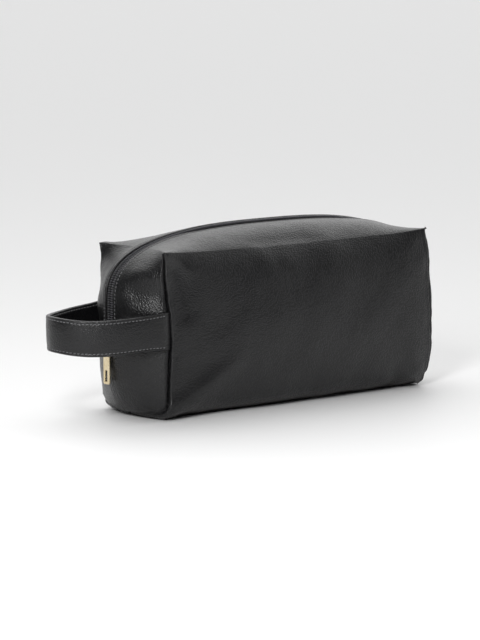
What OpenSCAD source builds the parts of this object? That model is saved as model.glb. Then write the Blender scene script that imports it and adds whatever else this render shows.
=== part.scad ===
// Soft box-shaped makeup bag with a carry loop on one end. Millimetres, +Z up.
// The origin is the centre of the flat base. +X runs along the bag, away from the carry loop,
// and the front wall faces -Y. The bag stands zipped shut, with the slider at the loop end.

/* [Body] */
// Length between the corner seams, without the ends' bulge
body_l = 250; // [220:5:280]
// Depth between the front and back corner seams
body_d = 80; // [76:2:96]
// Height of the four top corners
corner_h = 123; // [118:1:132]
// Height of the zip line at mid length
crown_h = 135; // [132:1:144]
// How far the front and back walls belly out
wall_bulge = 7; // [3:1:9]
// How far the loop end bulges past its corner seams
loop_end_bulge = 24; // [20:1:28]
// How far the plain end bulges past its corner seams
plain_end_bulge = 18; // [14:1:24]
// Roundness of the fold between wall and base
base_fold = 9; // [6:1:11]
// Roundness of the fold between wall and top
top_fold = 8; // [4:1:10]

/* [Layers] */
// Thickness of the outer leather
leather = 1.2; // [1:0.1:1.2]
// Thickness of the woven lining
lining = 0.5; // [0.3:0.1:0.6]
// Thickness of the wadding between leather and lining
wadding = 0.8; // [0.5:0.1:0.8]
// Thickness of the stiffener in the base
board = 1.2; // [0.8:0.1:1.2]

/* [Zip] */
// Height above the base at which the zip ends on both end faces
zip_end_h = 46; // [42:1:50]
// Height at which the straight end stretch of the zip turns into the shoulder
zip_straight_h = 84; // [80:1:88]
// Gap between the two folded leather edges along the zip
zip_gap = 8.4; // [8.4:0.2:10]
// Width of one zip tape, from its coil to its sewn edge
tape_w = 12.5; // [11:0.5:14]
// Width of the two closed coils together
chain_w = 6.2; // [6:0.1:6.2]
// Thickness of the coils
chain_t = 2; // [1.8:0.1:2.1]

/* [Slider and pull] */
// Length of the slider along the zip
slider_l = 12; // [11:0.5:12]
// Width of the slider across its mouth
slider_w = 7.6; // [7:0.1:7.8]
// Length of the pull below its crossbar
pull_l = 31; // [26:1:34]
// Width of the pull
pull_w = 6.8; // [6:0.2:7.4]
// Thickness of the pull
pull_t = 1.8; // [1.4:0.1:1.8]

/* [Carry loop] */
// Height of the middle of the strap above the base
strap_h = 66; // [60:1:68]
// Width of the strap
strap_w = 26; // [22:1:26]
// How far the strap's middle line stands out from the corner seams
loop_reach = 71; // [65:1:85]
// Thickness of each of the strap's two leathers
strap_leather = 1.2; // [1:0.1:1.3]
// Thickness of the filler between them
strap_filler = 1; // [0.8:0.1:1.2]

/* [Hidden] */

$fn = 48;

half_l = body_l / 2;
half_d = body_d / 2;
seam_gap = 1.5;            // the end panels start this far inside the corner seams
split_gap = 0.3;           // between the fixed lower shell and the two opening halves
layer_gap = 0.15;          // between one layer of the shell and the next
base_half_d = half_d - 12; // the walls turn under the bag as far as the base panel
zip_half = zip_gap / 2;
coil_gap = 0.6;            // each coil stops short of the middle, which leaves room for the slider's post
shoulder_power = 2.7;      // roundness of the zip line over the shoulders
across_power = 2.2;        // roundness of the ends and the top across the bag
top_share = 0.84;          // the top reaches the zip over this share of the walls' length
tape_depth = leather + 2 * layer_gap;
lining_depth = leather + wadding + 4 * layer_gap;
coil_depth = 0.5;          // the coils lie this far below the leather's face
body_colour = "#1d1d1f";
lining_colour = "#26262a";
wadding_colour = "#8a8a88";
thread_colour = "#4a4a4c";
metal_colour = "#d8bd86";

// ---------- shape of the shell ----------

function bulge(x) = x < 0 ? loop_end_bulge : plain_end_bulge;
function mix(a, b, k) = a + (b - a) * k;
function round_off(k, power) = pow(max(0, 1 - pow(abs(k), power)), 1 / power);

// How much of the end's bulge the zip line has at height z
function end_fullness(z) = z < zip_end_h ? round_off((zip_end_h - z) / zip_end_h, 2) : 1;

// Height of the zip line over the top, at x
function crown_z(x) =
    zip_straight_h + (crown_h - zip_straight_h) * round_off(x / (half_l + bulge(x)), shoulder_power);

// The zip line over a shoulder, seen from the side, by its angle above the straight stretch
function shoulder(angle, side) = let (
        reach = half_l + bulge(side),
        rise = crown_h - zip_straight_h,
        r = pow(pow(cos(angle) / reach, shoulder_power) + pow(sin(angle) / rise, shoulder_power),
                -1 / shoulder_power)
    ) [side * r * cos(angle), zip_straight_h + r * sin(angle)];

// The zip line on an end, from the zip's end at k = 0 to where the top begins at k = 1
function end_zip(k, side) = let (
        top_x = top_share * half_l,
        last = atan2(crown_z(side * top_x) - zip_straight_h, top_x),
        straight = 0.37
    )
    k < straight
        ? [side * (half_l + bulge(side)), mix(zip_end_h, zip_straight_h, k / straight)]
        : shoulder(last * (k - straight) / (1 - straight), side);

// The strip between the front wall's edge and the zip line. s runs along the zip from the loop
// end (-2 to -1) over the top (-1 to 1) to the plain end (1 to 2), and y crosses it.
function strip(s, y) = let (
        side = s < 0 ? -1 : 1,
        on_end = abs(s) > 1,
        k = 2 - abs(s),
        edge = on_end ? [side * half_l, mix(zip_end_h, corner_h, k)] : [s * half_l, corner_h],
        x_top = s * half_l * top_share,
        zip = on_end ? end_zip(k, side) : [x_top, crown_z(x_top)],
        c = 1 - pow(abs(y) / half_d, across_power),
        p = mix(edge, zip, c)
    ) [p[0], y, p[1]];

// An end below the zip, at height z
function low_end(side, y, z) =
    [side * (half_l + bulge(side) * end_fullness(z) * (1 - pow(abs(y) / half_d, across_power))), y, z];

// The front wall at w millimetres above (below, where negative) its top fold, before the folds
// are rounded. u runs from -1 to 1 along the bag.
function sharp_section(u, w) =
    w >= 0 ? strip(u, min(0, w - half_d))
    : w > -corner_h
        ? [u * half_l, -half_d - wall_bulge * (1 - pow(abs(u), 2.6)) * sin(180 * (corner_h + w) / corner_h),
           corner_h + w]
        : [u * half_l, -half_d - corner_h - w, 0];

// The same with rounded folds: each point is the mean of its neighbours over the fold's radius
function section(u, w) = let (
        r = w < -corner_h / 2 ? base_fold : top_fold * (1 - pow(abs(u), 4))
    ) (sharp_section(u, w - r) + sharp_section(u, w - r / 2) + sharp_section(u, w)
       + sharp_section(u, w + r / 2) + sharp_section(u, w + r)) / 5;

// The way out of the bag at a point, which every layer is offset along
function outward(p) = let (
        z_mid = 60,
        z_reach = p[2] < z_mid ? z_mid : crown_h - z_mid,
        g = [sign(p[0]) * pow(abs(p[0]) / (half_l + bulge(p[0])), 5) / (half_l + bulge(p[0])),
             sign(p[1]) * pow(abs(p[1]) / (half_d + wall_bulge), 5) / (half_d + wall_bulge),
             sign(p[2] - z_mid) * pow(abs(p[2] - z_mid) / z_reach, 5) / z_reach]
    ) g / norm(g);
function inset(p, depth) = p - depth * outward(p);

// ---------- sheets ----------

// A closed sheet between two depths below the surface. rows is a list of rows of surface points.
module sheet(rows, from, to) {
    n = len(rows);
    m = len(rows[0]);
    count = n * m;
    flat = [for (row = rows) each row];
    skin = [for (i = [0:n - 2], j = [0:m - 2]) let (a = i * m + j) [a, a + 1, a + m + 1, a + m]];
    rim = concat(
        [for (j = [0:m - 2]) [j + 1, j]],
        [for (i = [0:n - 2]) [i * m, (i + 1) * m]],
        [for (j = [0:m - 2]) [(n - 1) * m + j, (n - 1) * m + j + 1]],
        [for (i = [0:n - 2]) [(i + 1) * m + m - 1, i * m + m - 1]]
    );
    polyhedron(
        points = concat([for (p = flat) inset(p, from)], [for (p = flat) inset(p, to)]),
        faces = concat(
            [for (e = rim) each [[e[1] + count, e[1], e[0]], [e[0] + count, e[1] + count, e[0]]]],
            [for (q = skin) each [[q[2], q[1], q[0]], [q[3], q[2], q[0]]]],
            [for (q = skin) let (u = [for (v = q) v + count]) each [[u[0], u[1], u[2]], [u[0], u[2], u[3]]]]
        ),
        convexity = 6
    );
}

function steps(from, to, n) = [for (i = [0:n]) mix(from, to, i / n)];
function wall_rows(ws, us) = [for (w = ws) [for (u = us) section(u, w)]];
function strip_rows(ys, ss) = [for (y = ys) [for (s = ss) strip(s, y)]];
function low_end_rows(zs, ys, side) = [for (z = zs) [for (y = ys) low_end(side, y, z)]];

module in_back() {
    mirror([0, 1, 0]) children();
}

// ---------- fixed lower shell ----------

function base_outline(margin) = let (
        ys = steps(-base_half_d + margin, base_half_d - margin, 12),
        edge = function(side, y) side * (low_end(side, y, 3)[0] * side - margin)
    ) concat([for (y = ys) [edge(1, y), y]], [for (i = [len(ys) - 1:-1:0]) [edge(-1, ys[i]), ys[i]]]);

module base_sheet(from, thickness, margin) {
    translate([0, 0, from]) linear_extrude(thickness) polygon(base_outline(margin));
}

module base_panel() color(body_colour) base_sheet(0, leather, split_gap);
module base_board() color("#6b6258") base_sheet(leather + layer_gap, board, 8);
module base_lining() color(lining_colour) base_sheet(lining_depth, lining, 7);

low_top_w = zip_end_h - corner_h - split_gap;
wall_us = concat([-1, -0.97], steps(-0.9, 0.9, 14), [0.97, 1]);
low_wall_ws = concat(
    steps(-corner_h - (half_d - base_half_d), -corner_h + base_fold, 6),
    steps(-corner_h + base_fold + 12, low_top_w, 2)
);
low_end_ys = steps(-half_d + seam_gap, half_d - seam_gap, 14);
low_end_zs = concat(steps(leather + split_gap, 14, 3), steps(22, zip_end_h - split_gap, 2));

module front_panel_lower() color(body_colour) sheet(wall_rows(low_wall_ws, wall_us), 0, leather);
module back_panel_lower() in_back() front_panel_lower();

module low_end_sheet(side, from, to, lift) {
    zs = [for (z = low_end_zs) max(z, lift)];
    rising = [for (i = [0:len(zs) - 1]) if (i == 0 || zs[i] > zs[i - 1]) zs[i]];
    rows = low_end_rows(rising, low_end_ys, side);
    sheet(side < 0 ? [for (i = [len(rows) - 1:-1:0]) rows[i]] : rows, from, to);
}

module loop_end_panel_lower() color(body_colour) low_end_sheet(-1, 0, leather, 0);
module plain_end_panel_lower() color(body_colour) low_end_sheet(1, 0, leather, 0);

wadding_depth = leather + 2 * layer_gap;
wadding_half = 0.94;                 // the wadding stops short of the seams at this share of the length
module front_wadding_lower()
    color(wadding_colour)
    sheet(wall_rows(steps(-corner_h + 14, low_top_w, 3), steps(-wadding_half, wadding_half, 8)),
          wadding_depth, wadding_depth + wadding - layer_gap);
module back_wadding_lower() in_back() front_wadding_lower();

lining_us = concat([-0.98], steps(-0.9, 0.9, 8), [0.98]);
low_lining_ws = concat(
    steps(-corner_h - 11, -corner_h + base_fold, 4),
    steps(-corner_h + base_fold + 14, low_top_w, 2)
);
module front_lining_lower()
    color(lining_colour)
    sheet(wall_rows(low_lining_ws, lining_us), lining_depth, lining_depth + lining);
module back_lining_lower() in_back() front_lining_lower();

low_lining_z = lining_depth + lining + split_gap;
module loop_end_lining_lower()
    color(lining_colour) low_end_sheet(-1, lining_depth, lining_depth + lining, low_lining_z);
module plain_end_lining_lower()
    color(lining_colour) low_end_sheet(1, lining_depth, lining_depth + lining, low_lining_z);

// ---------- opening halves ----------

up_wall_ws = concat(
    steps(zip_end_h - corner_h, -top_fold, 4),
    steps(-top_fold + 4, top_fold, 3),
    steps(top_fold + 8, half_d - zip_half, 2)
);
end_ys = steps(-half_d + seam_gap, -zip_half, 5);
end_ks = concat(steps(0, 0.37, 2), steps(0.44, 1, 9));
loop_ss = [for (k = end_ks) k - 2];
plain_ss = [for (i = [len(end_ks) - 1:-1:0]) 2 - end_ks[i]];

module front_panel_upper() color(body_colour) sheet(wall_rows(up_wall_ws, wall_us), 0, leather);
module back_panel_upper() in_back() front_panel_upper();

module front_loop_end_panel() color(body_colour) sheet(strip_rows(end_ys, loop_ss), 0, leather);
module back_loop_end_panel() in_back() front_loop_end_panel();
module front_plain_end_panel() color(body_colour) sheet(strip_rows(end_ys, plain_ss), 0, leather);
module back_plain_end_panel() in_back() front_plain_end_panel();

module front_wadding_upper()
    color(wadding_colour)
    sheet(wall_rows(steps(zip_end_h - corner_h, -top_fold - 4, 3), steps(-wadding_half, wadding_half, 8)),
          wadding_depth, wadding_depth + wadding - layer_gap);
module back_wadding_upper() in_back() front_wadding_upper();

lining_stop = tape_w + 0.5;          // the lining ends this far from the zip's middle
lining_ys = steps(-half_d + seam_gap + 2, -lining_stop, 3);
up_lining_ws = concat(steps(zip_end_h - corner_h, -top_fold, 3), steps(0, half_d - lining_stop, 4));
module front_lining_upper()
    color(lining_colour)
    sheet(wall_rows(up_lining_ws, lining_us), lining_depth, lining_depth + lining);
module back_lining_upper() in_back() front_lining_upper();
module front_loop_end_lining()
    color(lining_colour) sheet(strip_rows(lining_ys, loop_ss), lining_depth, lining_depth + lining);
module back_loop_end_lining() in_back() front_loop_end_lining();
module front_plain_end_lining()
    color(lining_colour) sheet(strip_rows(lining_ys, plain_ss), lining_depth, lining_depth + lining);
module back_plain_end_lining() in_back() front_plain_end_lining();

// ---------- zip ----------

top_ss = steps(-1, 1, 18);
zip_ss = concat(loop_ss, [for (i = [1:len(top_ss) - 2]) top_ss[i]], plain_ss);
stop_h = 3;
function from_height(z) = 0.37 * (z - zip_end_h) / (zip_straight_h - zip_end_h);
coil_ss = concat([from_height(zip_end_h + stop_h + 0.6) - 2],
                 [for (i = [1:len(zip_ss) - 2]) zip_ss[i]],
                 [2 - from_height(zip_end_h + stop_h + 1.6)]);

module zip_band(ys, from, to, ss) {
    sheet(strip_rows(ys, ss), from, to);
}

module front_zip_tape()
    color(body_colour)
    zip_band([-tape_w, -8, -4, -coil_gap - 0.3], tape_depth + 0.35, tape_depth + 0.85, zip_ss);
module back_zip_tape() in_back() front_zip_tape();
module front_zip_coil()
    color(body_colour) zip_band([-chain_w / 2, -coil_gap], coil_depth, tape_depth + 0.3, coil_ss);
module back_zip_coil() in_back() front_zip_coil();
module front_zip_stitching()
    color(thread_colour) zip_band([-zip_half - 2.4, -zip_half - 2], -0.45, -0.15, zip_ss);
module back_zip_stitching() in_back() front_zip_stitching();

zip_x = half_l + loop_end_bulge;
module front_zip_stop()
    color(metal_colour)
    translate([-zip_x + coil_depth, -chain_w / 2, zip_end_h + split_gap])
        cube([tape_depth - coil_depth + 0.3, chain_w / 2 - coil_gap, stop_h - split_gap]);
module back_zip_stop() in_back() front_zip_stop();

plain_zip_x = half_l + plain_end_bulge;
module zip_bottom_stop()
    color(metal_colour)
    translate([plain_zip_x - tape_depth - 0.2, -chain_w / 2, zip_end_h + 0.5])
        cube([tape_depth - coil_depth, chain_w, stop_h]);

// ---------- slider ----------

slider_z = zip_end_h + stop_h + 1.3;
wing_t = 1.2;
wing_lift = 1;                       // the outer wing stands this far out of the leather's face
post_w = 0.6;
under_depth = tape_depth + 1.3;      // the inner wing runs this far below the leather's face
under_t = 1;
bar_r = pull_t / 2;
bar_x = -zip_x - wing_lift - 0.3 - bar_r;
bar_z = slider_z + 5.8;
bridge_w = 2.4;
bridge_t = 1;
bridge_gap = 2 * bar_r + 0.6;

module slider_body() {
    color(metal_colour)
    translate([-zip_x, 0, slider_z]) {
        translate([-wing_lift, -slider_w / 2, 0]) cube([wing_t, slider_w, slider_l]);
        translate([-wing_lift + wing_t / 2, -post_w / 2, 0]) cube([under_depth + wing_lift, post_w, 3]);
        translate([under_depth, -slider_w / 2, 0]) cube([under_t, slider_w, slider_l]);
    }
}

// Arch over the outer wing, which the pull's crossbar turns in
module slider_bridge() {
    reach = bridge_gap + bridge_t;
    color(metal_colour)
    translate([-zip_x - wing_lift - reach, bridge_w / 2, bar_z - 3.6])
        rotate([90, 0, 0])
        linear_extrude(bridge_w)
        difference() {
            square([reach, 7.4]);
            translate([bridge_t, bridge_t]) square([reach, 7.4 - 2 * bridge_t]);
        }
}

window_l = 5.4;
slot_w = 2.8;
slot_l = 8;
slot_rim = 2.2;
corner_r = 1.4;
window_w = 3.4;

module pull_outline() {
    difference() {
        hull() {
            translate([-pull_w / 2, -1]) square([pull_w, bar_r + 1]);
            for (y = [-1, 1]) translate([y * (pull_w / 2 - corner_r), corner_r - pull_l]) circle(corner_r);
        }
        translate([-window_w / 2, -window_l]) square([window_w, window_l - bar_r * 0.7]);
        hull() {
            for (z = [slot_rim + slot_w / 2, slot_rim + slot_l - slot_w / 2])
                translate([0, z - pull_l]) circle(slot_w / 2);
        }
    }
}

module pull_tab() {
    color(metal_colour)
    translate([bar_x, 0, bar_z])
        intersection() {
            rotate([90, 0, -90]) translate([0, 0, -bar_r]) linear_extrude(pull_t) pull_outline();
            rotate([90, 0, 0])
                translate([0, 0, -pull_w])
                linear_extrude(2 * pull_w) {
                    circle(bar_r);
                    translate([-bar_r, -pull_l - 1]) square([pull_t, pull_l + 1]);
                }
        }
}

// ---------- carry loop ----------

loop_x = -half_l - 2.4;              // the strap starts just outside the corner seams
loop_half = half_d - 0.3;
bend_x = -half_l - 19;               // the loop swings up and down about this line
root_gap = 1.8;                      // lets each root lift past the loop as its half opens
strap_t = 2 * strap_leather + strap_filler + 2 * layer_gap;

// The strap's middle line seen from above, moved out by a distance
function loop_line(out) = [
    for (i = [0:32]) let (
            a = 180 * i / 32,
            n = [-sin(a) / loop_reach, -cos(a) / loop_half]
        ) [loop_x - loop_reach * sin(a), -loop_half * cos(a)] + out * n / norm(n)
];

module strap_band(from, to, width) {
    inner = loop_line(from);
    outer = loop_line(to);
    translate([0, 0, strap_h - width / 2])
        linear_extrude(width)
        polygon(concat(outer, [for (i = [len(inner) - 1:-1:0]) inner[i]]));
}

module bend_disc(r) {
    translate([bend_x, 0, strap_h])
        rotate([90, 0, 0])
        cylinder(r = r, h = 3 * half_d, center = true);
}

module loop_part(from, to, width) {
    difference() {
        strap_band(from, to, width);
        bend_disc(strap_w / 2 + root_gap);
        translate([bend_x, -half_d * 2, 0]) cube([100, half_d * 4, corner_h]);
    }
}

module strap_root_front() {
    color(body_colour)
    intersection() {
        strap_band(-strap_t / 2, strap_t / 2, strap_w);
        translate([0, -2 * half_d, 0]) mirror([1, 0, 0]) cube([loop_reach * 4, 2 * half_d, corner_h]);
        union() {
            bend_disc(strap_w / 2);
            translate([bend_x + 3, -2 * half_d, 0]) cube([loop_reach, 4 * half_d, corner_h]);
        }
    }
}
module strap_root_back() in_back() strap_root_front();

module strap_outer() color(body_colour) loop_part(strap_t / 2 - strap_leather, strap_t / 2, strap_w);
module strap_inner() color(body_colour) loop_part(-strap_t / 2, strap_leather - strap_t / 2, strap_w);
module strap_core() color(wadding_colour) loop_part(-strap_filler / 2, strap_filler / 2, strap_w - 3);

module strap_stitching(side) {
    color(thread_colour)
    intersection() {
        loop_part(strap_t / 2 + 0.02, strap_t / 2 + 0.3, strap_w);
        translate([-300, -150, strap_h + side * (strap_w / 2 - 2.3) - 0.2]) cube([300, 300, 0.4]);
    }
}
module strap_stitching_upper() strap_stitching(1);
module strap_stitching_lower() strap_stitching(-1);

base_panel();
base_board();
base_lining();
front_panel_lower();
back_panel_lower();
loop_end_panel_lower();
plain_end_panel_lower();
front_wadding_lower();
back_wadding_lower();
front_lining_lower();
back_lining_lower();
loop_end_lining_lower();
plain_end_lining_lower();
zip_bottom_stop();
strap_root_front();
strap_root_back();
front_panel_upper();
front_loop_end_panel();
front_plain_end_panel();
front_wadding_upper();
front_lining_upper();
front_loop_end_lining();
front_plain_end_lining();
front_zip_tape();
front_zip_coil();
front_zip_stop();
front_zip_stitching();
back_panel_upper();
back_loop_end_panel();
back_plain_end_panel();
back_wadding_upper();
back_lining_upper();
back_loop_end_lining();
back_plain_end_lining();
back_zip_tape();
back_zip_coil();
back_zip_stop();
back_zip_stitching();
slider_body();
slider_bridge();
pull_tab();
strap_outer();
strap_inner();
strap_core();
strap_stitching_upper();
strap_stitching_lower();
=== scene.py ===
import math

import bpy
import numpy as np
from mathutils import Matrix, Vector, noise
from mathutils.bvhtree import BVHTree
from mathutils.kdtree import KDTree


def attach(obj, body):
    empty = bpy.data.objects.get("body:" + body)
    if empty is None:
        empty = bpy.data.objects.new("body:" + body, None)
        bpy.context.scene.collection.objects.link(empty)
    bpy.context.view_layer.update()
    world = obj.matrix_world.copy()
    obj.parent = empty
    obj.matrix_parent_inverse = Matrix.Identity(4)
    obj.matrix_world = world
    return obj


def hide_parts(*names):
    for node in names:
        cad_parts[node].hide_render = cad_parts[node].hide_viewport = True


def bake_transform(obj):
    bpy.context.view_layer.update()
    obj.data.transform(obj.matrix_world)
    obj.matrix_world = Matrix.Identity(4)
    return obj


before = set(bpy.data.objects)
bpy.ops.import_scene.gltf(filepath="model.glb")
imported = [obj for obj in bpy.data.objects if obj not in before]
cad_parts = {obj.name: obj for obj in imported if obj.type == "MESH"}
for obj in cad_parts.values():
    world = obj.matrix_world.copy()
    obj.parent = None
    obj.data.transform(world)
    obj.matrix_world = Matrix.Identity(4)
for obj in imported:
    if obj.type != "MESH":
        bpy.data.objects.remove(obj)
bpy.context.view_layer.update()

scene = bpy.context.scene
MM = 0.001  # every size below is in millimetres, and this turns it to metres


# ---------------------------------------------------------------------------------------------
# Outer leather. Soft polyurethane leather with a pebbled grain, cut as two walls that wrap under
# the bag and two bellied ends. It is sewn inside out and turned, so each corner seam lies at the
# bottom of a pinched groove, and its two edges along the zip are folded under.

BODY_L = 250
BODY_D = 80
CORNER_H = 123      # the top corners' height
CROWN_H = 135       # the zip's height at its highest
WALL_BULGE = 7
LOOP_END_BULGE = 24
PLAIN_END_BULGE = 18
BASE_FOLD = 13      # the walls' lower and upper folds are rounded over this far to each side
TOP_FOLD = 23
TOP_PUFF = 0.17     # near its corners the upper fold keeps this share of that as extra fullness
ZIP_END_H = 46      # the zip's ends, and the top of its upright stretch
ZIP_STRAIGHT_H = 84
ZIP_HALF = 4.2      # half the gap between the folded edges
SHOULDER_POWER = 2.7
ACROSS_POWER = 2.2
TOP_SHARE = 0.95    # the share of the top corners' reach that the zip's top stretch takes
STRAIGHT_SHARE = 0.37
HALF_L = BODY_L / 2
HALF_D = BODY_D / 2
SEAM_FOOT_H = 14    # the corner seam turns under the end below this height
SEAM_TURN = 11      # over this much of the end's width
SEAM_LOW_H = 4.5    # and runs across it this far above the base
SEAM_ARCH = -3.3    # dropping by this much at the middle of the end
END_FOOT = 42       # the ends round under below this height
END_TUCK = 0.7      # giving up this share of their bulge
BASE_W = -CORNER_H - HALF_D  # the walls' length below the top fold, down and in to the middle


def mix(a, b, k):
    return a + (b - a) * k


def ramp(value, low, high):
    k = np.clip((value - low) / (high - low), 0, 1)
    return k * k * (3 - 2 * k)


def round_off(k, power):
    return np.maximum(0, 1 - np.abs(k) ** power) ** (1 / power)


def bulge(x):
    return np.where(x < 0, LOOP_END_BULGE, PLAIN_END_BULGE)


def crown_z(x):
    return mix(ZIP_STRAIGHT_H, CROWN_H, round_off(x / (HALF_L + bulge(x)), SHOULDER_POWER))


def end_zip(k, side):
    """The zip line on an end, seen from the side, from the zip's end (k 0) to the top (k 1)."""
    reach = HALF_L + bulge(side)
    rise = CROWN_H - ZIP_STRAIGHT_H
    top_x = TOP_SHARE * HALF_L
    last = np.arctan2(crown_z(side * top_x) - ZIP_STRAIGHT_H, top_x)
    angle = last * np.maximum(0, k - STRAIGHT_SHARE) / (1 - STRAIGHT_SHARE)
    around = (np.cos(angle) / reach) ** SHOULDER_POWER + (np.sin(angle) / rise) ** SHOULDER_POWER
    r = around ** (-1 / SHOULDER_POWER)
    low = k < STRAIGHT_SHARE
    x = np.where(low, side * reach, side * r * np.cos(angle))
    low_z = mix(ZIP_END_H, ZIP_STRAIGHT_H, k / STRAIGHT_SHARE)
    return x, np.where(low, low_z, ZIP_STRAIGHT_H + r * np.sin(angle))


def strip(s, y):
    """The leather from the wall's top edge to the zip: s from -2 (loop end) by way of -1 to 1 (top)
    to 2 (plain end), and y across the bag."""
    s, y = np.broadcast_arrays(np.asarray(s, float), np.asarray(y, float))
    side = np.where(s < 0, -1.0, 1.0)
    on_end = np.abs(s) > 1
    k = np.minimum(2 - np.abs(s), 1)
    end_x, end_z = end_zip(k, side)
    top_x = s * HALF_L * TOP_SHARE
    edge_x = np.where(on_end, side, s) * HALF_L
    edge_z = np.where(on_end, mix(ZIP_END_H, CORNER_H, k), CORNER_H)
    c = 1 - (np.abs(y) / HALF_D) ** ACROSS_POWER
    x = mix(edge_x, np.where(on_end, end_x, top_x), c)
    z = mix(edge_z, np.where(on_end, end_z, crown_z(top_x)), c)
    return np.stack([x, y, z], -1)


def low_end(side, y, z):
    """An end below its zip."""
    y, z = np.broadcast_arrays(np.asarray(y, float), np.asarray(z, float))
    fullness = 1 - END_TUCK * np.clip((END_FOOT - z) / END_FOOT, 0, 1) ** 2.2
    out = bulge(side) * fullness * (1 - (np.abs(y) / HALF_D) ** ACROSS_POWER)
    return np.stack([side * (HALF_L + out), y, z], -1)


def sharp_section(u, w):
    top = strip(u, np.minimum(0, w - HALF_D))
    across = np.broadcast_to(u * HALF_L, top.shape[:2])
    belly = WALL_BULGE * (1 - np.abs(u) ** 2.6) * np.sin(np.pi * (CORNER_H + w) / CORNER_H)
    wall = np.stack([across, -HALF_D - belly, np.broadcast_to(CORNER_H + w, across.shape)], -1)
    floor_y = np.broadcast_to(np.minimum(0, -HALF_D - CORNER_H - w), across.shape)
    under = np.stack([across, floor_y, np.zeros_like(across)], -1)
    w = np.broadcast_to(w, across.shape)[..., None]
    return np.where(w >= 0, top, np.where(w > -CORNER_H, wall, under))


def section(u, w):
    """The front wall at w millimetres above its top fold, with the folds rounded over."""
    u, w = np.meshgrid(u, w)
    top_r = TOP_FOLD * (1 - np.abs(u) ** 6) * (1 - ramp(w, 10, 35))
    r = np.where(w < -CORNER_H / 2, BASE_FOLD, top_r)
    shifts = np.linspace(-1, 1, 9)
    points = sum(sharp_section(u, w + r * shift) for shift in shifts) / len(shifts)
    # the fold stays full towards its corners
    puff = TOP_PUFF * top_r * np.abs(u) ** 3 * np.exp(-((w / 13) ** 2))
    return points + np.stack([0 * puff, -puff, puff], -1)


def outward(p):
    """The way out of the bag at each point."""
    z_mid = 60
    reach = np.stack([
        HALF_L + bulge(p[..., 0]),
        np.full(p.shape[:-1], HALF_D + WALL_BULGE),
        np.where(p[..., 2] < z_mid, z_mid, CROWN_H - z_mid),
    ], -1)
    q = p - [0, 0, z_mid]
    g = np.sign(q) * (np.abs(q) / reach) ** 5 / reach
    return g / np.linalg.norm(g, axis=-1, keepdims=True)


def graded(start, end, fine_start, fine_end, widest, growth=0.3):
    """Places from start to end, closest together where they are fine."""
    places, at, length = [0], 0, abs(end - start)
    while at < length:
        at += min(widest, fine_start + growth * at, fine_end + growth * max(0, length - at))
        places.append(at)
    return start + (end - start) * np.array(places) / at


def foot_seam(y):
    """Height of the seam that joins an end to the base, at each place across the end."""
    turn = np.clip((np.abs(y) - (HALF_D - SEAM_TURN)) / SEAM_TURN, 0, 1)
    arch = SEAM_ARCH * np.clip(1 - (np.abs(y) / (HALF_D - SEAM_TURN)) ** 2, 0, 1)
    return SEAM_LOW_H + arch + (SEAM_FOOT_H - SEAM_LOW_H) * (1 - np.sqrt(1 - turn ** 2))


def half_skin(us, ins, low_ins, shoulder_zs, foot_zs):
    """The front half's outer surface as grids that share their edges. ins are distances in from the
    wall's plane towards the zip, and low_ins carry on below the zip to the middle."""
    around = np.concatenate([ins, low_ins])
    foot_w = -CORNER_H + SEAM_FOOT_H
    base_ws = foot_w + (BASE_W - foot_w) * (around / HALF_D) ** 0.75
    wall_ws = np.concatenate([shoulder_zs[::-1], foot_zs[::-1][1:]]) - CORNER_H
    grids = [section(us, ins), section(us, wall_ws), section(us, base_ws)]
    seam_z = foot_seam(HALF_D - around)
    k = (shoulder_zs - ZIP_END_H) / (CORNER_H - ZIP_END_H)
    down = (foot_zs - SEAM_FOOT_H) / (ZIP_END_H - SEAM_FOOT_H)
    for side in (-1, 1):
        grids.append(strip(side * (2 - k)[None, :], -(HALF_D - ins)[:, None]))
        z = mix(seam_z[None, :], ZIP_END_H, down[:, None])
        end = low_end(side, -(HALF_D - around)[None, :], z)
        grids.append(end)
        lip = np.linspace(0, 1, 6)[:, None, None]
        wall_end = section(np.array([float(side)]), base_ws)[:, 0]
        grids.append(mix(end[0][None], wall_end[None], lip))
    return grids


def weld(grids):
    """One mesh of the grids, facing outwards: its points and its four-cornered faces."""
    points, faces, count = [], [], 0
    for grid in grids:
        ids = count + np.arange(grid.shape[0] * grid.shape[1]).reshape(grid.shape[:2])
        quads = np.stack([ids[:-1, :-1], ids[:-1, 1:], ids[1:, 1:], ids[1:, :-1]], -1).reshape(-1, 4)
        flat = grid.reshape(-1, 3)
        corner = flat[quads - count]
        facing = np.cross(corner[:, 2] - corner[:, 0], corner[:, 3] - corner[:, 1])
        if (facing * outward(corner.mean(1))).sum() < 0:
            quads = quads[:, ::-1]
        points.append(flat)
        faces.append(quads)
        count += len(flat)
    points, faces = np.concatenate(points), np.concatenate(faces)
    near, offset = 0.01, 0.317  # points closer than this are one, and the offset avoids round sizes
    keys = np.round(points / near + offset).astype(np.int64)
    _, first, where = np.unique(keys, axis=0, return_index=True, return_inverse=True)
    return points[first], where.reshape(-1)[faces]


def facing_out(points, faces):
    corner = points[faces]
    facing = np.cross(corner[:, 2] - corner[:, 0], corner[:, 3] - corner[:, 1])
    out = np.zeros_like(points)
    for i in range(4):
        np.add.at(out, faces[:, i], facing)
    out[np.abs(points[:, 1]) < 1e-6, 1] = 0
    return out / np.maximum(np.linalg.norm(out, axis=1, keepdims=True), 1e-9)


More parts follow.
